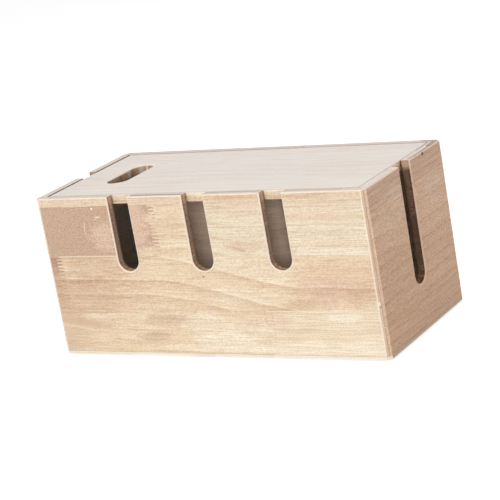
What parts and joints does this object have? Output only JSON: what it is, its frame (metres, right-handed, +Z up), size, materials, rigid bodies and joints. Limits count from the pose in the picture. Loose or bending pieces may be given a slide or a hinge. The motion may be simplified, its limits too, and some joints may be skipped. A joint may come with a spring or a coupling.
{
  "type": "cable management box",
  "caption": "Long wooden box for a power strip and its cables, with round-ended cable slots open at the top of its walls and an inset lift-out lid with a hand hole.",
  "frame": {"origin": "middle of the box's footprint, on the surface that the foot pads stand on", "axes": "+X along the length of the box, with the hand hole near its -X end; -Y is the front with the row of cable slots; +Z up, the way the lid lifts"},
  "size_m": [0.35, 0.163, 0.157],
  "materials": {
    "wall_wood": "satin clear lacquer on edge-glued staves",
    "end_wood": "satin clear lacquer on edge-glued staves",
    "lid_wood": "satin clear lacquer on edge-glued staves",
    "post_wood": "sawn and sanded, no lacquer",
    "base_plywood": "sanded plywood",
    "foot_rubber": "matt",
    "screw_steel": "zinc plated"
  },
  "bodies": {
    "box": {"front_panel": "wall_wood", "back_panel": "wall_wood", "left_end_panel": "end_wood", "right_end_panel": "end_wood", "base_panel": "base_plywood", "front_left_post": "post_wood", "front_right_post": "post_wood", "back_left_post": "post_wood", "back_right_post": "post_wood", "front_left_foot": "foot_rubber", "front_right_foot": "foot_rubber", "back_left_foot": "foot_rubber", "back_right_foot": "foot_rubber", "base_screws": "screw_steel"},
    "lid": {"lid": "lid_wood"}
  },
  "joints": [
    {"name": "lid_lift", "type": "slide", "parent": "box", "child": "lid", "axis": [0, 0, 1], "range_m": [0, 0.12]}
  ]
}
